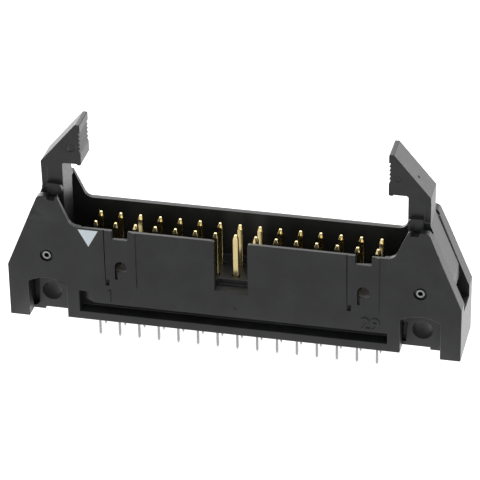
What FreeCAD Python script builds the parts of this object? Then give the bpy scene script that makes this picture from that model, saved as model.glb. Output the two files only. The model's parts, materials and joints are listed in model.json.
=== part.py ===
import FreeCAD, Part
import math
import os

# Straight box header, 2 rows of contacts, with a long ejector lever at each end.
# Millimetres. X runs along the rows, the notched wall faces -Y, Z points away from the board.
# The origin is the middle of the contact grid, on the board.

# Contact grid
pitch = 2.54
columns = 15

# Contacts
pin_side = 0.64
pin_reach = 6.05
pin_tip_length = 0.7
pin_tip_side = 0.42
tail_reach = 3.5
tail_side = 0.28
tail_tip_length = 0.3
tail_tip_side = 0.14
shoulder_side = 0.9
shoulder_length = 1.5
shoulder_depth = 0.4
pin_play = 0.01

# Trough
body_depth = 8.4
wall = 0.7
floor_z = 7.2
wall_over_pins = 0.22
board_gap = 0.3
end_room = 3.32
cavity_past = 0.85

# Polarity notch in the middle of the front wall
notch_width = 4.2
notch_shelf = 1.2
notch_drop = 0.82
notch_round = 0.35

# Key panels on the front wall, each centred between two columns of contacts
key_columns = (1.5, 13.5)
panel_width = 3.9
panel_height = 7.9
panel_lift = 0.12
key_width = 2.0
key_depth = 1.22
arch_width = 1.5
arch_height = 1.5
arch_base = 0.5
stem_width = 0.3
stem_length = 1.1
stem_depth = 0.5
nick_width = 0.45
nick_height = 0.95
nick_depth = 0.4
seam_width = 0.1
seam_depth = 0.15

# Cored groove along the foot of each long face, and the ramped pocket at its first end
groove_end = 1.6
groove_base = 1.1
groove_height = 1.45
groove_depth = 1.8
ramp_length = 2.0
ramp_height = 1.55
ramp_depth = 1.2

# End towers
tower_length = 7.52
tower_rise = 3.78
tower_lean = 0.3
shoulder_in = 0.87
slope_run = 1.65
slope_fillet = 1.2
top_outer = 0.9
top_round = 0.7
outer_round = 0.4
corner_round = 0.12
foot_length = 2.57
web_gap = 0.35
pad_length = 1.5

# Slot for the lever, a little nearer the notched wall
slot_width = 4.2
slot_shift = -0.2
slot_drop = 1.35
foot_end_gap = 0.1
window_start = 1.05
window_width = 0.95
window_depth = 0.5
window_out = 0.45

# Screw hole across each tower, in a recess of each long face
hole_diameter = 2.55
hole_z = 2.8
recess_depth = 1.9
recess_top = 5.7
recess_side = 5.0
side_pocket_width = 0.5
side_pocket_depth = 1.0
side_pocket_base = 1.0
side_pocket_top = 4.9

# Hinge and its rolled pin
hinge_out = 2.4
hinge_rise = 1.8
pin_diameter = 1.1
pin_wall = 0.3
pin_slit = 0.2
hinge_play = 0.05
counterbore_diameter = 1.7
counterbore_depth = 0.35
pin_end_gap = 0.05

# Lever, measured from its hinge
lever_side_gap = 0.2
shank_in = 2.0
shank_out = 0.75
grip_under = 12.17
grip_height = 5.4
grip_reach = 4.42
grip_top_flat = 0.6
nub_width = 0.55
nub_drop = 0.15
teeth = 5
tooth_pitch = 0.56
tooth_depth = 0.25
teeth_start = 1.15
flare_recess = 0.08
flare_knee = 1.35
flare_end = -0.1
flare_tip = 3.9
barrel_radius = 1.9
barrel_flat = 1.5
foot_reach = 4.2
foot_top_gap = 0.1
foot_floor_gap = 0.15
boss_width = 1.95
boss_height = 1.65
boss_out = 0.65
boss_gap = 0.1
sweep_gap = 0.15
step_width = 0.75
step_depth = 0.12
edge_round = 0.15
nub_round = 0.07
nub_corner = 0.25
shank_round = 0.3
throat_round = 0.4
heel_round = 0.5
boss_corner = 0.1
arc_flat = 0.01

# Worked out from the sizes above
grid_half = pitch * (columns - 1) / 2
row_y = pitch / 2
front_y = -body_depth / 2
trough_end = grid_half + end_room
cavity_end = trough_end + cavity_past
tower_end = trough_end + tower_length
pin_tip_z = floor_z + pin_reach
wall_top = pin_tip_z + wall_over_pins
tower_top = wall_top + tower_rise
slot_floor = floor_z - slot_drop
hinge_x = trough_end + hinge_out
hinge_z = floor_z + hinge_rise
recess_width = tower_length - foot_length
hole_x = trough_end + recess_width / 2
lever_width = slot_width - 2 * lever_side_gap
foot_top = floor_z - foot_top_gap - hinge_z
foot_low = slot_floor + foot_floor_gap - hinge_z
foot_sweep = math.hypot(foot_reach, foot_top)
pocket_x = hinge_x - foot_end_gap - math.sqrt(foot_sweep ** 2 - hinge_rise ** 2)
slant = (tower_end - hinge_x - top_outer) / (tower_top - floor_z)
far = 4 * tower_end


def box(x0, x1, y0, y1, z0, z1):
    """Block between two corners."""
    return Part.makeBox(x1 - x0, y1 - y0, z1 - z0, FreeCAD.Vector(x0, y0, z0))


def across(radius, x, z, y0, y1):
    """Round bar along Y."""
    return Part.makeCylinder(radius, y1 - y0, FreeCAD.Vector(x, y0, z), FreeCAD.Vector(0, 1, 0))


def corner(before, point, after, radius):
    """The two tangent points and the middle of the arc that rounds a corner."""
    to_before = (before - point).normalize()
    to_after = (after - point).normalize()
    half = to_before.getAngle(to_after) / 2
    reach = radius / math.tan(half)
    middle = (to_before + to_after).normalize()
    start = point + to_before * reach
    end = point + to_after * reach
    return start, point + middle * (radius / math.sin(half) - radius), end


def profile(points, y0, y1):
    """Solid between Y = y0 and y1 of a closed outline of (x, z) or (x, z, corner radius)."""
    places = [FreeCAD.Vector(p[0], y0, p[1]) for p in points]
    edges = []
    ends = []
    for i, place in enumerate(places):
        radius = points[i][2] if len(points[i]) > 2 else 0
        if radius:
            start, middle, end = corner(places[i - 1], place, places[(i + 1) % len(places)], radius)
            edges.append(Part.Arc(start, middle, end).toShape())
            ends.append((start, end))
        else:
            edges.append(None)
            ends.append((place, place))
    outline = []
    for i, edge in enumerate(edges):
        if edge:
            outline.append(edge)
        following = ends[(i + 1) % len(ends)][0]
        if ends[i][1].distanceToPoint(following) > 1e-6:
            outline.append(Part.LineSegment(ends[i][1], following).toShape())
    face = Part.Face(Part.Wire(outline))
    return face.extrude(FreeCAD.Vector(0, y1 - y0, 0))


def prism(side_low, side_high, x, y, z0, z1):
    """Square bar along Z that may taper."""
    rings = []
    for side, z in ((side_low, z0), (side_high, z1)):
        half = side / 2
        steps = ((-1, -1), (1, -1), (1, 1), (-1, 1))
        corners = [FreeCAD.Vector(x + i * half, y + j * half, z) for i, j in steps]
        rings.append(Part.makePolygon(corners + corners[:1]))
    return Part.makeLoft(rings, True, True)


def other_end(shape):
    """The same form at the opposite end of the connector."""
    return shape.mirror(FreeCAD.Vector(0, 0, 0), FreeCAD.Vector(1, 0, 0))


def both_ends(shape):
    return [shape, other_end(shape)]


def both_faces(shape):
    return [shape, shape.mirror(FreeCAD.Vector(0, 0, 0), FreeCAD.Vector(0, 1, 0))]


def column_x(column):
    return column * pitch - grid_half


# Housing
def tower_blank():
    """One tower across the full depth, with its concave shoulder and its foot."""
    shoulder = trough_end - shoulder_in
    inner = shoulder - slope_fillet
    outline = [
        (inner, board_gap),
        (trough_end, board_gap),
        (trough_end, web_gap),
        (trough_end + recess_width, web_gap),
        (trough_end + recess_width, 0),
        (tower_end, 0),
        (tower_end, floor_z, outer_round),
        (hinge_x + top_outer, tower_top, top_round),
        (shoulder + slope_run, tower_top, edge_round),
        (shoulder, wall_top, slope_fillet),
        (inner, wall_top),
    ]
    blank = profile(outline, front_y, -front_y)
    uprights = []
    for edge in blank.Edges:
        span = edge.BoundBox
        if span.XMin > tower_end - 1e-3 and span.YLength < 1e-3 and span.ZLength > 1:
            uprights.append(edge)
    blank = blank.makeFillet(corner_round, uprights)
    pad_x = trough_end + recess_width - pad_length
    pad_y = -front_y - recess_depth
    return blank.fuse(box(pad_x, trough_end + recess_width, -pad_y, pad_y, 0, web_gap))


def lever_slot():
    """Way for the lever through the tower, its foot pocket and the relief that its bosses swing in."""
    y0 = slot_shift - slot_width / 2
    y1 = slot_shift + slot_width / 2
    way = box(pocket_x, far, y0, y1, slot_floor, far)
    swing = boss_out + boss_gap - lever_side_gap
    relief = box(trough_end, tower_end, y0 - swing, y1 + swing, wall_top, far)
    return way.fuse(relief.cut(across(boss_sweep(), hinge_x, hinge_z, front_y, -front_y)))


def boss_sweep():
    """Radius inside which the cheeks keep their full thickness."""
    return tower_top - window_depth + boss_gap - hinge_z - sweep_gap


def tower_windows():
    """Cut in the lip of both cheeks, below the lever's bosses."""
    x0 = trough_end + window_start
    floor = tower_top - window_depth
    outline = [
        (x0, tower_top + wall),
        (x0, floor),
        (x0 + window_width, floor, window_depth / 2),
        (x0 + window_width + window_out, tower_top + wall),
    ]
    return profile(outline, front_y - wall, -front_y + wall)


def tower_lean_cut():
    """What comes off the front above the trough wall, where the cheeks lean in."""
    points = [
        FreeCAD.Vector(-far, front_y - wall, wall_top),
        FreeCAD.Vector(-far, front_y, wall_top),
        FreeCAD.Vector(-far, front_y + tower_lean, tower_top),
        FreeCAD.Vector(-far, front_y - wall, tower_top + wall),
    ]
    face = Part.Face(Part.makePolygon(points + points[:1]))
    return face.extrude(FreeCAD.Vector(2 * far, 0, 0))


def screw_recess():
    """Arched recess of one long face round the screw hole, with a cored pocket at its outer side."""
    x0 = trough_end
    x1 = trough_end + recess_width
    y1 = front_y + recess_depth
    left = FreeCAD.Vector(x0, front_y - wall, recess_side)
    crown = FreeCAD.Vector((x0 + x1) / 2, front_y - wall, recess_top)
    right = FreeCAD.Vector(x1, front_y - wall, recess_side)
    low_right = FreeCAD.Vector(x1, front_y - wall, -wall)
    low_left = FreeCAD.Vector(x0, front_y - wall, -wall)
    arch = Part.Arc(left, crown, right).toShape()
    legs = Part.makePolygon([right, low_right, low_left, left])
    face = Part.Face(Part.Wire([arch] + legs.Edges))
    recess = face.extrude(FreeCAD.Vector(0, y1 - front_y + wall, 0))
    y2 = y1 + side_pocket_depth
    return recess.fuse(box(x1 - side_pocket_width, x1, y1, y2, side_pocket_base, side_pocket_top))


def hinge_bore():
    """Pin hole through both cheeks, opened out at each face."""
    bore = across(pin_diameter / 2, hinge_x, hinge_z, front_y, -front_y)
    mouth = across(counterbore_diameter / 2, hinge_x, hinge_z, front_y - wall, front_y + counterbore_depth)
    for end in both_faces(mouth):
        bore = bore.fuse(end)
    return bore


def polarity_notch():
    """Opening of the front wall with rounded upper corners, and the shelf cut into the floor behind it."""
    half = notch_width / 2
    clear = half + 2 * notch_round
    low = floor_z - notch_drop
    outline = [
        (-half, low),
        (half, low),
        (half, wall_top, notch_round),
        (clear, wall_top),
        (clear, far),
        (-clear, far),
        (-clear, wall_top),
        (-half, wall_top, notch_round),
    ]
    return profile(outline, front_y - wall, front_y + wall + notch_shelf)


def key_panel(x):
    """Raised panel of the front wall."""
    half = panel_width / 2
    return box(x - half, x + half, front_y - panel_lift, front_y + wall, wall_top - panel_height, wall_top)


def key_cuts(x):
    """Notch in the wall top, arched window with its stem, and nick and seam at the panel's edge."""
    half = key_width / 2
    outer = front_y - panel_lift
    cuts = [box(x - half, x + half, outer - wall, front_y + wall, wall_top - key_depth, far)]
    left = x - arch_width / 2
    base = floor_z + arch_base
    crown = arch_width / 2 - arc_flat
    arch = [
        (left, base),
        (left + arch_width, base),
        (left + arch_width, base + arch_height, crown),
        (left, base + arch_height, crown),
    ]
    cuts.append(profile(arch, outer - wall, front_y + 2 * wall))
    cuts.append(box(left, left + stem_width, outer - wall, outer + stem_depth, base - stem_length, base))
    edge = x - panel_width / 2
    low = wall_top - panel_height
    cuts.append(box(edge, edge + nick_width, outer - wall, outer + nick_depth, low, low + nick_height))
    cuts.append(box(edge - seam_width, edge, outer - wall, front_y + seam_depth, low, far))
    return cuts


def foot_groove():
    """Cored groove along the foot of the front face."""
    half = trough_end - groove_end
    base = board_gap + groove_base
    return box(-half, half, front_y - wall, front_y + groove_depth, base, base + groove_height)


def ramp_pocket():
    """Pocket above the first end of the groove, which runs out to the face."""
    x0 = groove_end - trough_end
    base = board_gap + groove_base + groove_height
    points = [
        FreeCAD.Vector(x0, front_y - wall, base),
        FreeCAD.Vector(x0, front_y + ramp_depth, base),
        FreeCAD.Vector(x0 + ramp_length, front_y, base),
        FreeCAD.Vector(x0 + ramp_length, front_y - wall, base),
    ]
    face = Part.Face(Part.makePolygon(points + points[:1]))
    return face.extrude(FreeCAD.Vector(0, 0, ramp_height))


def contact_hole(x, y):
    """Passage for one contact, with the room for its shoulder."""
    side = pin_side / 2 + pin_play
    wide = shoulder_side / 2 + pin_play
    hole = box(x - side, x + side, y - side, y + side, 0, floor_z)
    top = floor_z - shoulder_depth
    return hole.fuse(box(x - wide, x + wide, y - side, y + side, top - shoulder_length, floor_z))


def housing():
    body = box(-trough_end, trough_end, front_y, -front_y, board_gap, wall_top)
    body = body.fuse([key_panel(column_x(c)) for c in key_columns] + both_ends(tower_blank()))
    inner_y = -front_y - wall
    cuts = [box(-cavity_end, cavity_end, -inner_y, inner_y, floor_z, far), polarity_notch(), ramp_pocket()]
    for c in key_columns:
        cuts += key_cuts(column_x(c))
    cuts += both_faces(foot_groove()) + both_faces(tower_lean_cut())
    for form in (lever_slot(), tower_windows(), hinge_bore()):
        cuts += both_ends(form)
    cuts += both_ends(across(hole_diameter / 2, hole_x, hole_z, front_y, -front_y))
    for recess in both_faces(screw_recess()):
        cuts += both_ends(recess)
    body = body.cut(cuts)
    holes = [contact_hole(column_x(c), y) for c in range(columns) for y in (-row_y, row_y)]
    return body.cut(holes).removeSplitter()


# Contacts
def contact(x, y):
    """Square post with a coined tip, a wide shoulder below the trough floor and a slim pointed tail."""
    low = -tail_reach + tail_tip_length
    high = pin_tip_z - pin_tip_length
    post = prism(pin_side, pin_side, x, y, board_gap, high)
    tip = prism(pin_side, pin_tip_side, x, y, high, pin_tip_z)
    tail = prism(tail_side, tail_side, x, y, low, board_gap)
    point = prism(tail_tip_side, tail_side, x, y, -tail_reach, low)
    wide = shoulder_side / 2
    half = pin_side / 2
    top = floor_z - shoulder_depth
    shoulder = box(x - wide, x + wide, y - half, y + half, top - shoulder_length, top)
    return post.fuse([tip, tail, point, shoulder]).removeSplitter()


# Hinge pins
def hinge_pin():
    """Rolled spring pin with its slit on top."""
    reach = -front_y - pin_end_gap
    outer = across(pin_diameter / 2, hinge_x, hinge_z, -reach, reach)
    inner = across(pin_diameter / 2 - pin_wall, hinge_x, hinge_z, -reach, reach)
    slit = box(hinge_x - pin_slit / 2, hinge_x + pin_slit / 2, -reach, reach, hinge_z, hinge_z + pin_diameter)
    return outer.cut([inner, slit])


# Levers
def grip_teeth(top):
    """Saw teeth of the thumb grip, from the top one down, as (x, z) from the hinge."""
    points = []
    for i in range(teeth):
        points.append((-grip_reach + tooth_depth, top - i * tooth_pitch))
        points.append((-grip_reach, top - (i + 1) * tooth_pitch))
    return points


def flare_x(z):
    """How far out the flared heel lies at a height above the hinge: it keeps inside the tower's slant."""
    return top_outer - flare_recess + (tower_top - hinge_z - z) * slant


def lever_outline():
    """Side view of the lever, as (x, z) or (x, z, radius) from the hinge, and outwards is +x."""
    grip_top = grip_under + grip_height
    slope_top = -grip_reach + grip_top_flat
    teeth_top = grip_top - teeth_start
    heel_start = tower_top - hinge_z - (shank_out - top_outer + flare_recess) / slant
    foot_nose = math.sqrt(foot_sweep ** 2 - foot_low ** 2)
    outline = [
        (-grip_reach, grip_top, edge_round),
        (slope_top, grip_top, edge_round),
        (shank_out, grip_under, edge_round),
        (shank_out, heel_start, top_round),
        (flare_x(flare_knee), flare_knee, top_round),
        (flare_tip, flare_end, edge_round),
        (barrel_flat, -barrel_radius, heel_round),
        (0, -barrel_radius, shank_round),
        (-shank_in, foot_low, shank_round),
        (-foot_nose, foot_low, shank_round),
        (-foot_reach, foot_top, shank_round),
        (-shank_in, foot_top, throat_round),
        (-shank_in, grip_under, shank_round),
        (-grip_reach + nub_width, grip_under),
        (-grip_reach + nub_width, grip_under - nub_drop, nub_round),
        (-grip_reach, grip_under - nub_drop, nub_corner),
    ]
    low_tooth = teeth_top - teeth * tooth_pitch
    saw = [(-grip_reach, low_tooth)] + [p for p in reversed(grip_teeth(teeth_top)[:-1])]
    return outline + saw + [(-grip_reach, teeth_top)]


def boss(y0, y1):
    """Detent boss on one side of the shank, rounded towards the trough."""
    low = tower_top - window_depth + boss_gap
    x0 = hinge_x - shank_in
    nose = boss_height / 2 - arc_flat
    outline = [
        (x0, low, nose),
        (x0 + boss_width, low, boss_corner),
        (x0 + boss_width, low + boss_height, boss_corner),
        (x0, low + boss_height, nose),
    ]
    return profile(outline, y0, y1)


def lever():
    y0 = slot_shift - lever_width / 2
    y1 = slot_shift + lever_width / 2
    points = [(hinge_x + p[0], hinge_z + p[1]) + tuple(p[2:]) for p in lever_outline()]
    form = profile(points, y0, y1)
    step_low = tower_top + window_depth
    step_high = hinge_z + grip_under - shank_out
    step_x = hinge_x + shank_out - step_width
    for low, high in ((y0, y0 + step_depth), (y1 - step_depth, y1)):
        form = form.cut(box(step_x, hinge_x + shank_out + wall, low, high, step_low, step_high))
    form = form.fuse([boss(y0 - boss_out, y0), boss(y1, y1 + boss_out)])
    bore = across(pin_diameter / 2 + hinge_play, hinge_x, hinge_z, y0 - boss_out, y1 + boss_out)
    return form.cut(bore).removeSplitter()


def save(name, shape):
    solids = shape.Solids
    if len(solids) != 1 or not solids[0].isValid():
        raise ValueError(name + " is not one valid solid")
    solids[0].exportStep("parts/" + name + ".step")


os.makedirs("parts", exist_ok=True)
save("housing", housing())
right_lever = lever()
right_pin = hinge_pin()
save("ejector_lever_right", right_lever)
save("ejector_lever_left", other_end(right_lever))
save("hinge_pin_right", right_pin)
save("hinge_pin_left", other_end(right_pin))
for column in range(columns):
    for row, y in enumerate((-row_y, row_y)):
        save("contact_%02d" % (2 * column + row + 1), contact(column_x(column), y))
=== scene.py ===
import json
import math

import bpy
from bpy.props import FloatProperty, FloatVectorProperty, PointerProperty, StringProperty
from bpy.types import Operator, Panel, PropertyGroup
from mathutils import Matrix, Vector

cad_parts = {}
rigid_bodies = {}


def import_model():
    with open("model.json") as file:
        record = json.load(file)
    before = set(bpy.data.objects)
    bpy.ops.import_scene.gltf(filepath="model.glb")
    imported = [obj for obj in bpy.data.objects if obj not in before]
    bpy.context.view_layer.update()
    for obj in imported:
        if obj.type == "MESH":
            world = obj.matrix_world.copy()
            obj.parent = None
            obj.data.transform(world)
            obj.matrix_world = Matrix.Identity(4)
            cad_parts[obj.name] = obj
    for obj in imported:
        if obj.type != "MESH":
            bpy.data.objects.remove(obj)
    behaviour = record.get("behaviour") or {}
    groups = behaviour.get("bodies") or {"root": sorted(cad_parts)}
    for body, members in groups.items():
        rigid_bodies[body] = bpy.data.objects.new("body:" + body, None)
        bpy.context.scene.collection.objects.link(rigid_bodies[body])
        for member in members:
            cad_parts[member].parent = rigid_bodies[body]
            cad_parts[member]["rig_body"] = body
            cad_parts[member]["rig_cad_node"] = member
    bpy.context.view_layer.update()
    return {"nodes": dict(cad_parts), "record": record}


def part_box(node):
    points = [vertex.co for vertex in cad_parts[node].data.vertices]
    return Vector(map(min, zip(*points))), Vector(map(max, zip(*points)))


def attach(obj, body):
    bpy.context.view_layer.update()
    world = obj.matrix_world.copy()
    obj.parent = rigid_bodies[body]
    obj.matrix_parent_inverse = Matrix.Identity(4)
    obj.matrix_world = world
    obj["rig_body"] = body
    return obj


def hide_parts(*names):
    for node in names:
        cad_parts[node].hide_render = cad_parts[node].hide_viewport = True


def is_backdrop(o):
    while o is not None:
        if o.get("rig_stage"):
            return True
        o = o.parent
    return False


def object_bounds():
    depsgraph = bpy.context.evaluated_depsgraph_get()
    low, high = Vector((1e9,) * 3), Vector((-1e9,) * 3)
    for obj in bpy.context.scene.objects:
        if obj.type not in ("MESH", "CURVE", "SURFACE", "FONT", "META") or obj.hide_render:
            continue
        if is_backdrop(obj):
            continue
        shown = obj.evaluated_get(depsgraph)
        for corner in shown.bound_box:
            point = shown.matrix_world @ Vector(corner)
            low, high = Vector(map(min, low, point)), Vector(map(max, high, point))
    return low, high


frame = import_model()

bl_info = {
    "name": "Box header with long ejector levers",
    "version": (1, 0, 0),
    "blender": (4, 5, 0),
    "location": "3D View > Sidebar > Box header",
    "description": "Builds a box header from its moulded, plated, rolled and printed pieces, in a studio",
    "category": "Object",
}

MM = 0.001

# Places on the solids, in millimetres
FOREMOST_STEP = 0.12
INNER_FACE = -3.5
WALL_TOP = 13.47
KEY_FLOOR = 12.25
KEY_HALF = 1.0  # half the width of a key notch
KEY_MIDDLES = (-13.97, 16.51)
SCREW_BORE = (23.575, 2.8, 1.3)  # X, Z and radius
CAD_POCKET = ((25.5, 26.1), (-2.3, -1.2), (0.9, 4.95))  # from and to in X, Y and Z, as the other pockets

# Places of the forms that only this script has, in millimetres
FIRST_POCKET = ((-26.1, -25.25), (-2.4, -1.3), (0.45, 4.95))
FIRST_POCKET_ROUND = 0.75
OTHER_POCKET = ((21.1, 21.64), (-2.4, -1.6), (0.9, 3.7))
FRONT_DOT = (0.46, 4.15)  # X and Z, as the numbers
LEFT_RING = (-20.35, -2.1, 23.3)
RIGHT_RING = (20.2, -2.1, 23.3)
SLANT_DOT = (22.51, -0.76, 23.23)
SLANT = (0.763, 0, 0.646)  # the way that the face with this dot looks
FIRST_NUMBER = (-15.6, 3.15)
LAST_NUMBER = (17.4, 3.15)

# Modelling
FLAT = 0.01 * MM  # points closer than this lie in one plane or are one point
SMOOTH_ANGLE = math.radians(50)  # sharpest turn that is shaded smooth
LONG_EDGE = 3  # shortest edge that gets a radius, in radii
END_ROOM = 1.6  # shortest edge that may meet it, in radii
THROUGH = 1.1  # length of a tool that cuts right through a piece, in lengths of the piece
DIGIT_SHARE = 0.7  # height of a digit, as a share of the type size

# Where the camera looks, in millimetres
CAMERA_TARGET = (0.2414, 0, 11.5436)

# Where the softboxes point, and each one's name, place and side in metres and the setting with its power
LIT_POINT = Vector((0, 0, 0.01))
SOFTBOXES = (
    ("back_softbox", (-0.05, 0.42, 0.46), 0.45, "back_power"),
    ("side_softbox", (0.42, 0.42, 0.16), 0.3, "side_power"),
    ("left_softbox", (-0.32, 0.5, 0.14), 0.25, "left_power"),
    ("fill_softbox", (-0.4, -0.2, 0.3), 0.5, "fill_power"),
)


def metres(place):
    """Place given in millimetres, as a vector in metres."""
    return Vector([value * MM for value in place])


def linear(code):
    """sRGB hex to the linear colour that a shader takes."""
    parts = [int(code[i:i + 2], 16) / 255 for i in (1, 3, 5)]
    return tuple(c / 12.92 if c <= 0.04045 else ((c + 0.055) / 1.055) ** 2.4 for c in parts) + (1.0,)


def colour(name, description, code):
    return FloatVectorProperty(
        name=name, description=description, subtype="COLOR", size=4, min=0, max=1, default=linear(code)
    )


def length(name, description, millimetres):
    return FloatProperty(
        name=name, description=description, subtype="DISTANCE", unit="LENGTH", precision=5,
        default=millimetres * MM,
    )


def angle(name, description, degrees):
    return FloatProperty(name=name, description=description, subtype="ANGLE", default=math.radians(degrees))


def watts(name, description, power):
    return FloatProperty(name=name, description=description, unit="POWER", default=power)


def share(name, description, value):
    return FloatProperty(name=name, description=description, default=value)


# Sizes and colours
class HeaderPlastic(PropertyGroup):
    housing_colour: colour("Housing", "Black of the glass-filled polyester housing", "#161717")
    lever_colour: colour("Levers", "Black of the glass-filled nylon levers", "#161717")
    housing_edge: length("Housing edge", "Radius left on the housing's edges by the mould", 0.09)
    lever_edge: length("Lever edge", "Radius left on the levers' edges by the mould", 0.06)
    ring_left: length("Left ring", "Radius of the ejector pin's ring on the left lever", 0.55)
    ring_right: length("Right ring", "Radius of the ejector pin's ring on the right lever", 0.37)
    ring_width: length("Ring width", "Width of the fine step that an ejector pin leaves", 0.12)
    dot_radius: length("Dot radius", "Radius of the small sunk dots that the mould leaves", 0.2)
    lead_in: length("Lead-in", "Chamfer inside the front wall that leads a socket in", 0.3)
    lead_in_end: length("Lead-in end", "Distance from the middle where the lead-in stops", 19.0)
    facet_angle: angle("Edge angle", "Sharpest turn that still counts as one curved face", 32)


class HeaderMetal(PropertyGroup):
    gold_colour: colour("Gold", "Gold flash of the mating ends", "#e9d8a4")
    tin_colour: colour("Tin", "Matte tin of the solder tails", "#929290")
    steel_colour: colour("Steel", "Rolled steel of the hinge pins", "#a0a2a2")
    post_side: length("Post side", "Side of the square contact post", 0.64)
    post_edge: length("Post edge", "Radius of the post's rolled edges", 0.035)
    tip_length: length("Tip length", "Length of the coined tip", 0.52)
    tip_height: length("Tip height", "Height of the tips above the board", 12.93)
    crown_side: length("Crown side", "Width of the flat left on the coined tip", 0.3)
    shoulder_low: length("Shoulder foot", "Height where the press-in shoulder begins", 5.3)
    shoulder_high: length("Shoulder top", "Height where the press-in shoulder ends", 6.8)
    tail_side: length("Tail side", "Side of the slim solder tail", 0.28)
    tail_start: length("Tail start", "Height where the post narrows to its tail", 0.3)
    point_length: length("Point length", "Length of the tail's pointed end", 0.3)
    point_side: length("Point side", "Side of the flat left at the end of the tail's point", 0.14)
    tin_height: length("Tin height", "Height on the post where tin ends and gold begins", 6.7)
    pin_radius: length("Pin radius", "Radius of the rolled hinge pin", 0.55)
    pin_bore: length("Pin bore", "Radius of the hole along the rolled pin", 0.3)
    pin_edge: length("Pin edge", "Radius of the rolled pin's ends", 0.09)
    pin_seam: length("Pin seam", "Gap between the rolled pin's two edges", 0.06)


class HeaderMarks(PropertyGroup):
    ink_colour: colour("Ink", "Pale ink of the mark beside contact 1", "#dce8ee")
    mark_left: length("Mark left", "Left corner of the mark", -19.3)
    mark_right: length("Mark right", "Right corner of the mark", -16.72)
    mark_top: length("Mark top", "Height of the mark's two upper corners", 13.22)
    mark_tip: length("Mark tip", "Height of the mark's lower corner", 10.88)
    ink_height: length("Ink height", "How far the ink stands off the wall", 0.02)
    first_number: StringProperty(
        name="First number", description="Contact number at the first end", default="1",
    )
    last_number: StringProperty(
        name="Last number", description="Contact number at the other end", default="29",
    )
    number_height: length("Number height", "Height of the moulded numbers", 1.7)
    number_relief: length("Number relief", "How far the moulded numbers stand off the wall", 0.115)
    number_weight: length("Number weight", "How much bolder the digits are than the typeface", 0.05)


class HeaderStage(PropertyGroup):
    azimuth: angle("Azimuth", "Camera's turn to the right of the front", 13.264)
    elevation: angle("Elevation", "Camera's height above the object", 30.066)
    roll: angle("Roll", "Camera's turn about its own axis", -0.938)
    distance: length("Distance", "Camera to the point it looks at", 347.0)
    focal_length: FloatProperty(
        name="Focal length", description="Lens in millimetres on a 36 mm sensor", unit="CAMERA",
        default=211.07,
    )
    floor_colour: colour("Floor", "Matte white paper", "#e6e6e6")
    floor_size: length("Floor size", "Side of the paper", 3000)
    sweep_front: length("Sweep front", "Where the brighter part of the paper begins", -18)
    sweep_back: length("Sweep back", "Where the paper is brightest", 3)
    fade_start: length("Fade start", "Where the brightest part of the paper ends", 14)
    fade_end: length("Fade end", "Where the paper is as dim as it gets behind the object", 42)
    front_glow: share("Front glow", "Light of the paper before the object, as a share of full white", 0.17)
    back_glow: share("Back glow", "Light of the paper close behind the object, as a share of it too", 1.9)
    far_glow: share("Far glow", "Share of that light farther behind", 0.56)
    seen_glow: share("Seen glow", "Light of the paper that the camera sees, as a share of full white", 0.72)
    room_light: share("Room light", "Light of the white room on the object, as a share of full white", 0.7)
    left_power: watts("Left power", "Softbox behind at the left", 1.3)
    back_power: watts("Back power", "Softbox behind and above", 1.4)
    side_power: watts("Side power", "Softbox behind at the right", 1.0)
    fill_power: watts("Fill power", "Softbox at the left", 0.3)


# Materials
def node(tree, kind, values=None, links=None, **settings):
    """Adds a node with its settings, its own socket values and the outputs that feed it."""
    made = tree.nodes.new(kind)
    for name, value in settings.items():
        setattr(made, name, value)
    for socket, value in (values or {}).items():
        made.inputs[socket].default_value = value
    for socket, source in (links or {}).items():
        tree.links.new(source, made.inputs[socket])
    return made


def new_material(name):
    material = bpy.data.materials.new(name)
    material.use_nodes = True
    material.node_tree.nodes.clear()
    return material, material.node_tree


def finish_material(material, tree, shader):
    node(tree, "ShaderNodeOutputMaterial", links={"Surface": shader.outputs[0]})
    return material


def per_metre(millimetres):
    """Noise scale whose features are that many millimetres across."""
    return 1 / (millimetres * MM)


def inside_bores(tree, at, bore):
    """1 within a bore along Y, and within its twin at -X: (X, Z, radius) in millimetres."""
    across, up, radius = (value * MM for value in bore)
    parts = node(tree, "ShaderNodeSeparateXYZ", links={"Vector": at})
    side = node(tree, "ShaderNodeMath", links={0: parts.outputs["X"]}, operation="ABSOLUTE")
    flat = node(tree, "ShaderNodeCombineXYZ", links={"X": side.outputs[0], "Z": parts.outputs["Z"]})
    away = node(tree, "ShaderNodeVectorMath", {1: (across, 0.0, up)}, {0: flat.outputs[0]},
                operation="DISTANCE")
    inside = node(tree, "ShaderNodeMath", {1: radius}, {0: away.outputs["Value"]}, operation="LESS_THAN")
    return inside.outputs[0]


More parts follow.
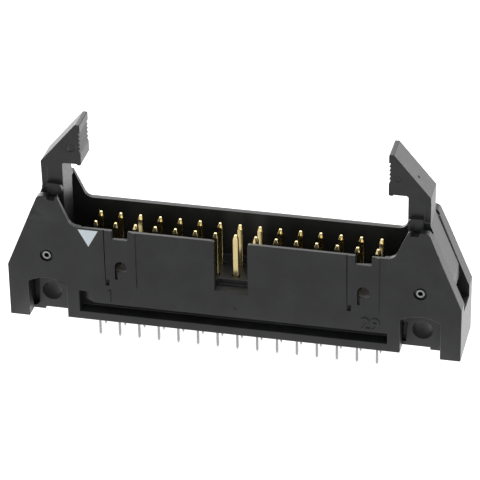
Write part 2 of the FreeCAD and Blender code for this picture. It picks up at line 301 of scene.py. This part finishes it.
def moulded_plastic(name, base, roughness, flow_mm, grain_mm, bore=None):
    """Glass-filled plastic straight from the mould: matte black, with a faint flow mottle and a fine
    spark-eroded grain that breaks up its reflections. The real grain is about 0.03 mm, too fine to show,
    so it is drawn coarser. Its screw bores are dull all through, where a plain core pin dragged."""
    mottle = (0.6, 1.5)
    bore_roughness = 0.7
    material, tree = new_material(name)
    place = node(tree, "ShaderNodeTexCoord")
    at = place.outputs["Object"]
    flow = node(tree, "ShaderNodeTexNoise", {"Scale": per_metre(flow_mm), "Detail": 3.0, "Roughness": 0.55},
                {"Vector": at})
    grain = node(tree, "ShaderNodeTexNoise", {"Scale": per_metre(grain_mm), "Detail": 2.0, "Roughness": 0.6},
                 {"Vector": at})
    darker, lighter = (tuple(min(1.0, c * k) for c in base[:3]) + (1.0,) for k in mottle)
    cloud = node(tree, "ShaderNodeMapRange", {"From Min": 0.35, "From Max": 0.65},
                 {"Value": flow.outputs["Fac"]})
    tint = node(tree, "ShaderNodeMix", {"A": darker, "B": lighter},
                {"Factor": cloud.outputs["Result"]}, data_type="RGBA")
    sheen = node(tree, "ShaderNodeMapRange",
                 {"From Min": 0.3, "From Max": 0.7, "To Min": roughness - 0.05, "To Max": roughness + 0.06},
                 {"Value": grain.outputs["Fac"]})
    relief = node(tree, "ShaderNodeBump", {"Strength": 0.35, "Distance": 0.02 * MM},
                  {"Height": grain.outputs["Fac"]})
    if bore:
        sheen = node(tree, "ShaderNodeMapRange", {"To Max": bore_roughness},
                     {"Value": inside_bores(tree, at, bore), "To Min": sheen.outputs["Result"]})
    shader = node(tree, "ShaderNodeBsdfPrincipled", {"IOR": 1.5},
                  {"Base Color": tint.outputs["Result"], "Roughness": sheen.outputs["Result"],
                   "Normal": relief.outputs["Normal"]})
    return finish_material(material, tree, shader)


def plated_post(settings):
    """Selectively plated phosphor bronze: bright gold flash on the mating end and dull tin on the tail,
    with fine drawing lines along the post."""
    edge, blend = settings.tin_height, 0.2 * MM
    material, tree = new_material("gold_flash_over_tinned_bronze")
    place = node(tree, "ShaderNodeTexCoord")
    at = place.outputs["Object"]
    parts = node(tree, "ShaderNodeSeparateXYZ", links={"Vector": at})
    plating = node(tree, "ShaderNodeMapRange", {"From Min": edge - blend, "From Max": edge + blend},
                   {"Value": parts.outputs["Z"]})
    lines = node(tree, "ShaderNodeMapping", {"Scale": (1.0, 1.0, 0.05)}, {"Vector": at})
    drawn = node(tree, "ShaderNodeTexNoise", {"Scale": per_metre(0.12), "Detail": 2.0},
                 {"Vector": lines.outputs["Vector"]})
    cloud = node(tree, "ShaderNodeTexNoise", {"Scale": per_metre(0.6), "Detail": 3.0}, {"Vector": at})
    deep = tuple(c * k for c, k in zip(settings.gold_colour[:3], (0.92, 0.86, 0.72))) + (1.0,)
    gold = node(tree, "ShaderNodeMix", {"A": tuple(settings.gold_colour), "B": deep},
                {"Factor": cloud.outputs["Fac"]}, data_type="RGBA")
    dull = tuple(c * 0.8 for c in settings.tin_colour[:3]) + (1.0,)
    tin = node(tree, "ShaderNodeMix", {"A": tuple(settings.tin_colour), "B": dull},
               {"Factor": cloud.outputs["Fac"]}, data_type="RGBA")
    skin = node(tree, "ShaderNodeMix", links={
        "Factor": plating.outputs["Result"], "A": tin.outputs["Result"], "B": gold.outputs["Result"],
    }, data_type="RGBA")
    tin_rough = node(tree, "ShaderNodeMapRange", {"To Min": 0.5, "To Max": 0.12},
                     {"Value": plating.outputs["Result"]})
    rough = node(tree, "ShaderNodeMath", {1: 0.12}, {0: drawn.outputs["Fac"], 2: tin_rough.outputs["Result"]},
                 operation="MULTIPLY_ADD")
    relief = node(tree, "ShaderNodeBump", {"Strength": 0.15, "Distance": 0.01 * MM},
                  {"Height": drawn.outputs["Fac"]})
    shader = node(tree, "ShaderNodeBsdfPrincipled", {"Metallic": 1.0},
                  {"Base Color": skin.outputs["Result"], "Roughness": rough.outputs["Value"],
                   "Normal": relief.outputs["Normal"]})
    return finish_material(material, tree, shader)


def rolled_steel(settings):
    """Nickel-plated spring steel rolled from strip: satin, with cross lines left by the cut at its ends."""
    material, tree = new_material("nickel_plated_spring_steel")
    place = node(tree, "ShaderNodeTexCoord")
    streak = node(tree, "ShaderNodeMapping", {"Scale": (1.0, 0.1, 1.0)},
                  {"Vector": place.outputs["Object"]})
    noise = node(tree, "ShaderNodeTexNoise", {"Scale": per_metre(0.1), "Detail": 3.0},
                 {"Vector": streak.outputs["Vector"]})
    dark = tuple(c * 0.7 for c in settings.steel_colour[:3]) + (1.0,)
    skin = node(tree, "ShaderNodeMix", {"A": tuple(settings.steel_colour), "B": dark},
                {"Factor": noise.outputs["Fac"]}, data_type="RGBA")
    rough = node(tree, "ShaderNodeMapRange", {"To Min": 0.25, "To Max": 0.45},
                 {"Value": noise.outputs["Fac"]})
    shader = node(tree, "ShaderNodeBsdfPrincipled", {"Metallic": 1.0},
                  {"Base Color": skin.outputs["Result"], "Roughness": rough.outputs["Result"]})
    return finish_material(material, tree, shader)


def pad_ink(settings):
    """Pad-printed epoxy ink: a thin pale film, a little uneven where it wetted the moulded grain."""
    material, tree = new_material("pad_printed_pale_ink")
    place = node(tree, "ShaderNodeTexCoord")
    patch = node(tree, "ShaderNodeTexNoise", {"Scale": per_metre(0.5), "Detail": 3.0},
                 {"Vector": place.outputs["Object"]})
    thin = tuple(c * 0.92 for c in settings.ink_colour[:3]) + (1.0,)
    skin = node(tree, "ShaderNodeMix", {"A": tuple(settings.ink_colour), "B": thin},
                {"Factor": patch.outputs["Fac"]}, data_type="RGBA")
    relief = node(tree, "ShaderNodeBump", {"Strength": 0.2, "Distance": 0.01 * MM},
                  {"Height": patch.outputs["Fac"]})
    shader = node(tree, "ShaderNodeBsdfPrincipled", {"Roughness": 0.5, "IOR": 1.5},
                  {"Base Color": skin.outputs["Result"], "Normal": relief.outputs["Normal"]})
    return finish_material(material, tree, shader)


def paper(settings):
    """Matte white studio paper that the camera and the glossy faces see as white and that keeps the object's
    shadow. Painted light: the glow that the glossy faces see on it is brighter behind the object than before
    it."""
    material, tree = new_material("studio_paper")
    place = node(tree, "ShaderNodeTexCoord")
    fibre = node(tree, "ShaderNodeTexNoise", {"Scale": per_metre(3.0), "Detail": 2.0},
                 {"Vector": place.outputs["Object"]})
    tone = tuple(c * 0.98 for c in settings.floor_colour[:3]) + (1.0,)
    sheet = node(tree, "ShaderNodeMix", {"A": tuple(settings.floor_colour), "B": tone},
                 {"Factor": fibre.outputs["Fac"]}, data_type="RGBA")
    matte = node(tree, "ShaderNodeBsdfDiffuse", links={"Color": sheet.outputs["Result"]})
    rays = node(tree, "ShaderNodeLightPath")
    parts = node(tree, "ShaderNodeSeparateXYZ", links={"Vector": place.outputs["Object"]})
    # Painted light: a glow on the paper, seen only by the camera and in glossy reflections, brighter in a
    # band close behind the object than before it or far behind it
    sweep = node(tree, "ShaderNodeMapRange", {
        "From Min": settings.sweep_front, "From Max": settings.sweep_back,
        "To Min": settings.front_glow, "To Max": settings.back_glow,
    }, {"Value": parts.outputs["Y"]}, interpolation_type="SMOOTHSTEP")
    fade = node(tree, "ShaderNodeMapRange", {
        "From Min": settings.fade_start, "From Max": settings.fade_end,
        "To Min": 1.0, "To Max": settings.far_glow,
    }, {"Value": parts.outputs["Y"]}, interpolation_type="SMOOTHSTEP")
    band = node(tree, "ShaderNodeMath", links={0: sweep.outputs["Result"], 1: fade.outputs["Result"]},
                operation="MULTIPLY")
    glow = node(tree, "ShaderNodeMapRange", {"To Max": settings.seen_glow},
                {"Value": rays.outputs["Is Camera Ray"], "To Min": band.outputs[0]})
    white = node(tree, "ShaderNodeEmission", {"Color": (1.0, 1.0, 1.0, 1.0)},
                 {"Strength": glow.outputs["Result"]})
    seen = seen_by_camera(tree)
    none = node(tree, "ShaderNodeBsdfTransparent", {"Color": (0.0, 0.0, 0.0, 1.0)})
    lift = node(tree, "ShaderNodeMixShader", links={0: seen, 1: none.outputs[0], 2: white.outputs[0]})
    both = node(tree, "ShaderNodeAddShader", links={0: matte.outputs[0], 1: lift.outputs[0]})
    return finish_material(material, tree, both)


def seen_by_camera(tree):
    """1 for rays from the camera and for what gloss and glass show of them."""
    rays = node(tree, "ShaderNodeLightPath")
    gloss = node(tree, "ShaderNodeMath",
                 links={0: rays.outputs["Is Camera Ray"], 1: rays.outputs["Is Glossy Ray"]},
                 operation="MAXIMUM")
    both = node(tree, "ShaderNodeMath", links={0: gloss.outputs[0], 1: rays.outputs["Is Transmission Ray"]},
                operation="MAXIMUM")
    return both.outputs[0]


# Modelling
def pick(obj):
    bpy.ops.object.select_all(action="DESELECT")
    bpy.context.view_layer.objects.active = obj
    obj.select_set(True)


def apply_all(obj):
    pick(obj)
    for modifier in list(obj.modifiers):
        bpy.ops.object.modifier_apply(modifier=modifier.name)


def seat(obj):
    """Puts the object's place into its mesh."""
    pick(obj)
    bpy.ops.object.transform_apply(location=True, rotation=True, scale=True)


def give(obj, material):
    obj.data.materials.clear()
    obj.data.materials.append(material)


def body_of(name):
    return next(b for b, members in frame["record"]["behaviour"]["bodies"].items() if name in members)


def moulded_copy(name, source, edge, angle, reshape=None):
    """Copy of a CAD piece with its facets joined and the small radius that a mould leaves on its edges. Those
    that are too short for it stay sharp."""
    pick(frame["nodes"][source])
    bpy.ops.object.duplicate()
    piece = bpy.context.active_object
    piece.name = name
    piece.data.name = name
    bpy.ops.object.mode_set(mode="EDIT")
    bpy.ops.mesh.select_all(action="SELECT")
    bpy.ops.mesh.remove_doubles(threshold=FLAT)
    bpy.ops.mesh.select_all(action="SELECT")
    bpy.ops.mesh.dissolve_limited(angle_limit=math.radians(0.5), delimit={"NORMAL"})
    if reshape:
        bpy.ops.object.mode_set(mode="OBJECT")
        reshape(piece)
        pick(piece)
        bpy.ops.object.mode_set(mode="EDIT")
    bpy.ops.mesh.select_mode(type="EDGE")
    bpy.ops.mesh.select_all(action="DESELECT")
    bpy.ops.mesh.edges_select_sharp(sharpness=angle)
    bpy.ops.mesh.mark_sharp()
    keep_long_edges(piece, edge)
    bpy.ops.mesh.mark_sharp(clear=True)
    bpy.ops.mesh.bevel(offset=edge, segments=2, affect="EDGES", clamp_overlap=False)
    bpy.ops.mesh.select_all(action="SELECT")
    bpy.ops.mesh.normals_make_consistent(inside=False)
    bpy.ops.object.mode_set(mode="OBJECT")
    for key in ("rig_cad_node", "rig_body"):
        if key in piece:
            del piece[key]
    piece.parent = None
    return piece


def smooth_edges(piece):
    """Shades the rounded edges smooth and the faces between them flat."""
    pick(piece)
    bpy.ops.object.shade_smooth_by_angle(angle=SMOOTH_ANGLE, keep_sharp_edges=True)
    flat = piece.modifiers.new("flat faces", "WEIGHTED_NORMAL")
    flat.keep_sharp = True
    apply_all(piece)


def combine(piece, tool, operation):
    """Adds one mesh to another or takes it off."""
    step = piece.modifiers.new("mould form", "BOOLEAN")
    step.operation = operation
    step.solver = "EXACT"
    step.object = tool
    apply_all(piece)
    bpy.data.objects.remove(tool)


def cut_out(piece, tool):
    combine(piece, tool, "DIFFERENCE")


def block(x, y, z):
    """Box between two values, in millimetres, on each axis."""
    bpy.ops.object.select_all(action="DESELECT")
    middle = [sum(pair) / 2 * MM for pair in (x, y, z)]
    bpy.ops.mesh.primitive_cube_add(size=1, location=middle)
    made = bpy.context.active_object
    made.scale = [(pair[1] - pair[0]) * MM for pair in (x, y, z)]
    seat(made)
    return made


def press_ring(piece, place, radius, width):
    """Fine ring round an ejector pin, on a face that looks to -Y."""
    bpy.ops.object.select_all(action="DESELECT")
    bpy.ops.mesh.primitive_torus_add(
        major_radius=radius, minor_radius=width / 2, major_segments=40, minor_segments=8,
        location=place, rotation=(math.pi / 2, 0, 0),
    )
    cut_out(piece, bpy.context.active_object)


def press_dot(piece, place, radius, direction):
    """Small sunk dot on a face that looks in a direction."""
    bpy.ops.object.select_all(action="DESELECT")
    bpy.ops.mesh.primitive_cylinder_add(
        vertices=20, radius=radius, depth=radius,
        location=place, rotation=Vector(direction).to_track_quat("Z", "Y").to_euler(),
    )
    cut_out(piece, bpy.context.active_object)


def keep_long_edges(piece, width):
    """Leaves selected, in edit mode, only the edges that have room for a radius at both of their ends."""
    bpy.ops.object.mode_set(mode="OBJECT")
    mesh = piece.data
    room = [math.inf] * len(mesh.vertices)
    for item in mesh.edges:
        a, b = item.vertices
        span = (mesh.vertices[a].co - mesh.vertices[b].co).length
        room[a] = min(room[a], span)
        room[b] = min(room[b], span)
    for item in mesh.edges:
        a, b = item.vertices
        span = (mesh.vertices[a].co - mesh.vertices[b].co).length
        roomy = span > LONG_EDGE * width and min(room[a], room[b]) > END_ROOM * width
        item.select = item.select and roomy
    for part in list(mesh.vertices) + list(mesh.polygons):
        part.select = False
    bpy.ops.object.mode_set(mode="EDIT")


def core_pockets(piece):
    """The cored pockets of the front recesses, both at their left: a wide one in the first recess, whose foot
    is round at the right, and a narrow one in the other, whose right side is plain."""
    wide = block(*FIRST_POCKET)
    left, low = FIRST_POCKET[0][0] * MM, FIRST_POCKET[2][0] * MM
    bpy.ops.object.mode_set(mode="EDIT")
    bpy.ops.mesh.select_mode(type="EDGE")
    bpy.ops.mesh.select_all(action="DESELECT")
    bpy.ops.object.mode_set(mode="OBJECT")
    for edge in wide.data.edges:
        ends = [wide.data.vertices[i].co for i in edge.vertices]
        edge.select = all(abs(v.x - left) > FLAT and abs(v.z - low) < FLAT for v in ends)
    bpy.ops.object.mode_set(mode="EDIT")
    bpy.ops.mesh.bevel(offset=FIRST_POCKET_ROUND * MM, segments=8, affect="EDGES")
    bpy.ops.object.mode_set(mode="OBJECT")
    cut_out(piece, wide)
    combine(piece, block(*CAD_POCKET), "UNION")
    cut_out(piece, block(*OTHER_POCKET))


def chamfer_inside(piece, middle, half, height, leg):
    """Chamfer along the front wall's inner top edge, about a middle in X and at a height in millimetres."""
    bpy.ops.object.select_all(action="DESELECT")
    place = metres((middle, INNER_FACE, height))
    bpy.ops.mesh.primitive_cube_add(size=1, location=place, rotation=(math.pi / 4, 0, 0))
    wedge = bpy.context.active_object
    wedge.scale = (2 * half, leg * math.sqrt(2), leg * math.sqrt(2))
    seat(wedge)
    cut_out(piece, wedge)


def mould_forms(piece):
    """The housing's pockets and lead-in chamfers."""
    plastic = bpy.context.scene.header_plastic
    core_pockets(piece)
    chamfer_inside(piece, 0, plastic.lead_in_end, WALL_TOP, plastic.lead_in)
    for middle in KEY_MIDDLES:
        chamfer_inside(piece, middle, KEY_HALF * MM, KEY_FLOOR, plastic.lead_in)


def front_face():
    """Y of the front wall's face, a little behind the housing's foremost step."""
    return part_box("housing")[0].y + FOREMOST_STEP * MM


class HEADER_OT_housing(Operator):
    """Moulded housing with softened edges"""

    bl_idname = "box_header.housing"
    bl_label = "Housing"

    def execute(self, context):
        plastic = context.scene.header_plastic
        piece = moulded_copy(
            "housing_moulding", "housing", plastic.housing_edge, plastic.facet_angle, mould_forms,
        )
        x, z = (value * MM for value in FRONT_DOT)
        press_dot(piece, (x, front_face(), z), plastic.dot_radius, (0, -1, 0))
        smooth_edges(piece)
        skin = moulded_plastic(
            "glass_filled_polyester_moulded", plastic.housing_colour,
            roughness=0.46, flow_mm=4.0, grain_mm=0.16, bore=SCREW_BORE,
        )
        give(piece, skin)
        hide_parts("housing")
        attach(piece, body_of("housing"))
        return {"FINISHED"}


class HEADER_OT_levers(Operator):
    """Two ejector levers with softened edges"""

    bl_idname = "box_header.levers"
    bl_label = "Ejector levers"

    def execute(self, context):
        plastic = context.scene.header_plastic
        skin = moulded_plastic(
            "glass_filled_nylon_moulded", plastic.lever_colour,
            roughness=0.42, flow_mm=3.0, grain_mm=0.14,
        )
        for side in ("left", "right"):
            source = "ejector_lever_" + side
            piece = moulded_copy("lever_moulding_" + side, source, plastic.lever_edge, plastic.facet_angle)
            if side == "left":
                press_ring(piece, metres(LEFT_RING), plastic.ring_left, plastic.ring_width)
            else:
                press_ring(piece, metres(RIGHT_RING), plastic.ring_right, plastic.ring_width)
                press_dot(piece, metres(SLANT_DOT), plastic.dot_radius, SLANT)
            smooth_edges(piece)
            give(piece, skin)
            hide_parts(source)
            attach(piece, body_of(source))
        return {"FINISHED"}


def rolled_pin(metal, reach):
    """Strip rolled to a tube about the Y axis, its ends rounded and its seam turned down to the right."""
    tubes = []
    for radius, depth in ((metal.pin_radius, reach), (metal.pin_bore, reach * THROUGH)):
        bpy.ops.object.select_all(action="DESELECT")
        bpy.ops.mesh.primitive_cylinder_add(
            vertices=48, radius=radius, depth=depth, rotation=(math.pi / 2, 0, 0),
        )
        tubes.append(bpy.context.active_object)
        seat(tubes[-1])
    pin, bore = tubes
    cut_out(pin, bore)
    bpy.ops.object.mode_set(mode="EDIT")
    bpy.ops.mesh.select_mode(type="EDGE")
    bpy.ops.mesh.select_all(action="DESELECT")
    bpy.ops.mesh.edges_select_sharp(sharpness=math.radians(60))
    bpy.ops.mesh.bevel(offset=metal.pin_edge, segments=3, affect="EDGES")
    bpy.ops.object.mode_set(mode="OBJECT")
    bpy.ops.object.select_all(action="DESELECT")
    right, down = 1, 0.8
    away = Vector((right, 0, -down)).normalized() * metal.pin_radius
    bpy.ops.mesh.primitive_cube_add(size=1, location=away, rotation=(0, math.atan2(down, right), 0))
    seam = bpy.context.active_object
    seam.scale = (metal.pin_radius * 1.2, reach * THROUGH, metal.pin_seam)
    seat(seam)
    cut_out(pin, seam)
    smooth_edges(pin)
    return pin


def copy_to(model, name, place):
    """Copy of a modelled piece, with its own mesh, moved to its place."""
    piece = model.copy()
    piece.data = model.data.copy()
    piece.name = piece.data.name = name
    bpy.context.scene.collection.objects.link(piece)
    piece.data.transform(Matrix.Translation(place))
    return piece


class HEADER_OT_hinge_pins(Operator):
    """Rolled spring pins with rounded ends"""

    bl_idname = "box_header.hinge_pins"
    bl_label = "Hinge pins"

    def execute(self, context):
        metal = context.scene.header_metal
        low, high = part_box("hinge_pin_left")
        pin = rolled_pin(metal, high.y - low.y)
        skin = rolled_steel(metal)
        for side in ("left", "right"):
            source = "hinge_pin_" + side
            low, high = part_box(source)
            piece = copy_to(pin, "rolled_pin_" + side, (low + high) / 2)
            give(piece, skin)
            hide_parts(source)
            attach(piece, body_of(source))
        bpy.data.objects.remove(pin)
        return {"FINISHED"}


def select_faces(obj, test):
    """Selects, in edit mode, the faces whose middle and normal pass a test."""
    bpy.ops.object.mode_set(mode="OBJECT")
    for face in obj.data.polygons:
        face.select = test(face.center, face.normal)
    for edge in obj.data.edges:
        edge.select = False
    for vertex in obj.data.vertices:
        vertex.select = False
    bpy.ops.object.mode_set(mode="EDIT")
    bpy.ops.mesh.select_mode(type="FACE")


def contact_post(metal):
    """One square post about the Z axis: coined tip, press-in shoulder and slim pointed tail."""
    low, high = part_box("contact_01")
    side, tail, top = metal.post_side, metal.tail_side, metal.tip_height
    tip = top - metal.tip_length
    bpy.ops.object.select_all(action="DESELECT")
    bpy.ops.mesh.primitive_cube_add(size=1, location=(0, 0, (metal.tail_start + top) / 2))
    post = bpy.context.active_object
    post.name = "contact_post"
    post.scale = (side, side, top - metal.tail_start)
    seat(post)
    bpy.ops.object.mode_set(mode="EDIT")
    for height in (metal.shoulder_low, metal.shoulder_high, tip):
        bpy.ops.mesh.select_all(action="SELECT")
        bpy.ops.mesh.bisect(plane_co=(0, 0, height), plane_no=(0, 0, 1))
    select_faces(post, lambda c, n: abs(n.x) > 0.9 and metal.shoulder_low < c.z < metal.shoulder_high)
    bpy.ops.mesh.extrude_faces_move(TRANSFORM_OT_shrink_fatten={"value": (high.x - low.x - side) / 2})
    select_faces(post, lambda c, n: n.z > 0.9 and c.z > tip)
    crown = metal.crown_side / side
    bpy.ops.transform.resize(value=(crown, crown, 1), center_override=(0, 0, top))
    select_faces(post, lambda c, n: n.z < -0.9 and c.z < metal.tail_start + FLAT)
    bpy.ops.mesh.inset(thickness=(side - tail) / 2)
    point = low.z + metal.point_length
    bpy.ops.mesh.extrude_region_move(TRANSFORM_OT_translate={"value": (0, 0, point - metal.tail_start)})
    bpy.ops.mesh.extrude_region_move(TRANSFORM_OT_translate={"value": (0, 0, low.z - point)})
    end = metal.point_side / tail
    bpy.ops.transform.resize(value=(end, end, 1), center_override=(0, 0, low.z))
    bpy.ops.object.mode_set(mode="OBJECT")
    bevel = post.modifiers.new("rolled edges", "BEVEL")
    bevel.width = metal.post_edge
    bevel.segments = 2
    bevel.limit_method = "ANGLE"
    bevel.angle_limit = math.radians(15)
    bevel.use_clamp_overlap = False
    smooth_edges(post)
    return post


class HEADER_OT_contacts(Operator):
    """Thirty plated contact posts"""

    bl_idname = "box_header.contacts"
    bl_label = "Contacts"

    def execute(self, context):
        metal = context.scene.header_metal
        post = contact_post(metal)
        skin = plated_post(metal)
        sources = sorted(n for n in frame["nodes"] if n.startswith("contact_"))
        for source in sources:
            low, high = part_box(source)
            place = ((low.x + high.x) / 2, (low.y + high.y) / 2, 0)
            piece = copy_to(post, source.replace("contact", "contact_post"), place)
            give(piece, skin)
            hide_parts(source)
            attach(piece, body_of(source))
        bpy.data.objects.remove(post)
        return {"FINISHED"}


class HEADER_OT_marks(Operator):
    """Printed mark beside contact 1 and the plain contact numbers at the two ends"""

    bl_idname = "box_header.marks"
    bl_label = "Marks"

    def execute(self, context):
        marks = context.scene.header_marks
        self.first_contact_mark(marks)
        self.number("moulded_number_first", marks.first_number, FIRST_NUMBER, marks)
        self.number("moulded_number_last", marks.last_number, LAST_NUMBER, marks)
        return {"FINISHED"}

    def first_contact_mark(self, marks):
        face = front_face()
        middle = (marks.mark_left + marks.mark_right) / 2
        bpy.ops.object.select_all(action="DESELECT")
        bpy.ops.mesh.primitive_circle_add(vertices=3, radius=1 * MM, fill_type="NGON", location=(0, 0, 0))
        mark = bpy.context.active_object
        mark.name = mark.data.name = "first_contact_mark"
        corners = (
            (marks.mark_left, marks.mark_top), (middle, marks.mark_tip), (marks.mark_right, marks.mark_top),
        )
        for vertex, (x, z) in zip(mark.data.vertices, corners):
            vertex.co = (x, face, z)
        bpy.ops.object.mode_set(mode="EDIT")
        bpy.ops.mesh.select_all(action="SELECT")
        bpy.ops.mesh.extrude_region_move(TRANSFORM_OT_translate={"value": (0, -marks.ink_height, 0)})
        bpy.ops.mesh.select_all(action="SELECT")
        bpy.ops.mesh.normals_make_consistent(inside=False)
        bpy.ops.object.mode_set(mode="OBJECT")
        bevel = mark.modifiers.new("ink edge", "BEVEL")
        bevel.width = marks.ink_height / 2
        bevel.segments = 2
        apply_all(mark)
        seat(mark)
        give(mark, pad_ink(marks))
        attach(mark, body_of("housing"))

    def number(self, name, digits, place, marks):
        x, z = (value * MM for value in place)
        bpy.ops.object.select_all(action="DESELECT")
        bpy.ops.object.text_add(location=(x, front_face(), z), rotation=(math.pi / 2, 0, 0))
        text = bpy.context.active_object
        text.data.body = digits
        text.data.align_x = "CENTER"
        text.data.size = marks.number_height / DIGIT_SHARE
        text.data.extrude = marks.number_relief
        text.data.offset = marks.number_weight
        text.data.resolution_u = 4
        bpy.ops.object.convert(target="MESH")
        piece = bpy.context.active_object
        piece.name = piece.data.name = name
        seat(piece)
        give(piece, bpy.data.materials["glass_filled_polyester_moulded"])
        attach(piece, body_of("housing"))


class HEADER_OT_stage(Operator):
    """White paper, soft studio light and the camera"""

    bl_idname = "box_header.stage"
    bl_label = "Stage"

    def execute(self, context):
        stage = context.scene.header_stage
        low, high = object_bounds()
        self.add_floor(stage, low[2])
        self.add_world(context, stage)
        for name, place, side, power in SOFTBOXES:
            self.add_softbox(name, place, side, getattr(stage, power))
        self.add_camera(context, stage)
        context.scene.view_settings.view_transform = "Standard"
        return {"FINISHED"}

    def add_floor(self, stage, height):
        bpy.ops.object.select_all(action="DESELECT")
        bpy.ops.mesh.primitive_plane_add(size=stage.floor_size, location=(0, 0, height))
        floor = bpy.context.active_object
        floor.name = "paper_floor"
        seat(floor)
        floor.data.materials.append(paper(stage))
        floor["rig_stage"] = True

    def add_world(self, context, stage):
        world = bpy.data.worlds.new("white_studio")
        world.use_nodes = True
        context.scene.world = world
        tree = world.node_tree
        tree.nodes.clear()
        seen = seen_by_camera(tree)
        strength = node(tree, "ShaderNodeMapRange", {"To Min": stage.room_light, "To Max": 1.0},
                        {"Value": seen})
        sky = node(tree, "ShaderNodeBackground", {"Color": (1.0, 1.0, 1.0, 1.0)},
                   {"Strength": strength.outputs["Result"]})
        node(tree, "ShaderNodeOutputWorld", links={"Surface": sky.outputs[0]})

    def add_softbox(self, name, place, side, power):
        bpy.ops.object.select_all(action="DESELECT")
        bpy.ops.object.light_add(type="AREA", location=place)
        light = bpy.context.active_object
        light.name = name
        light.data.shape = "SQUARE"
        light.data.size = side
        light.data.energy = power
        light.visible_camera = False
        aim = LIT_POINT - Vector(place)
        light.rotation_euler = aim.to_track_quat("-Z", "Y").to_euler()

    def add_camera(self, context, stage):
        a, e, r = stage.azimuth, stage.elevation, stage.roll
        back = Vector((math.sin(a) * math.cos(e), -math.cos(a) * math.cos(e), math.sin(e)))
        level = Vector((0, 0, 1)).cross(back).normalized()
        upright = back.cross(level)
        across = math.cos(r) * level + math.sin(r) * upright
        up = -math.sin(r) * level + math.cos(r) * upright
        turn = Matrix((across, up, back)).transposed().to_4x4()
        bpy.ops.object.camera_add()
        camera = bpy.context.active_object
        camera.name = "photo_camera"
        camera.matrix_world = Matrix.Translation(metres(CAMERA_TARGET) + back * stage.distance) @ turn
        camera.data.sensor_width = 36
        camera.data.lens = stage.focal_length
        camera.data.clip_start = 0.01
        context.scene.camera = camera


class HEADER_PT_pieces(Panel):
    """Lists the steps that build the header"""

    bl_label = "Box header"
    bl_idname = "HEADER_PT_pieces"
    bl_space_type = "VIEW_3D"
    bl_region_type = "UI"
    bl_category = "Box header"

    def draw(self, context):
        for step in STEPS:
            self.layout.operator(step.bl_idname)
        for group in GROUPS:
            settings = getattr(context.scene, group)
            for name in settings.__annotations__:
                self.layout.prop(settings, name)


STEPS = (
    HEADER_OT_housing, HEADER_OT_levers, HEADER_OT_hinge_pins, HEADER_OT_contacts, HEADER_OT_marks,
    HEADER_OT_stage,
)
GROUPS = {
    "header_plastic": HeaderPlastic, "header_metal": HeaderMetal, "header_marks": HeaderMarks,
    "header_stage": HeaderStage,
}


def register():
    for name, group in GROUPS.items():
        bpy.utils.register_class(group)
        setattr(bpy.types.Scene, name, PointerProperty(type=group))
    for step in STEPS:
        bpy.utils.register_class(step)
    bpy.utils.register_class(HEADER_PT_pieces)


def unregister():
    bpy.utils.unregister_class(HEADER_PT_pieces)
    for step in reversed(STEPS):
        bpy.utils.unregister_class(step)
    for name, group in GROUPS.items():
        delattr(bpy.types.Scene, name)
        bpy.utils.unregister_class(group)


def main():
    register()
    for step in STEPS:
        area, name = step.bl_idname.split(".")
        getattr(getattr(bpy.ops, area), name)()


if __name__ == "__main__":
    main()
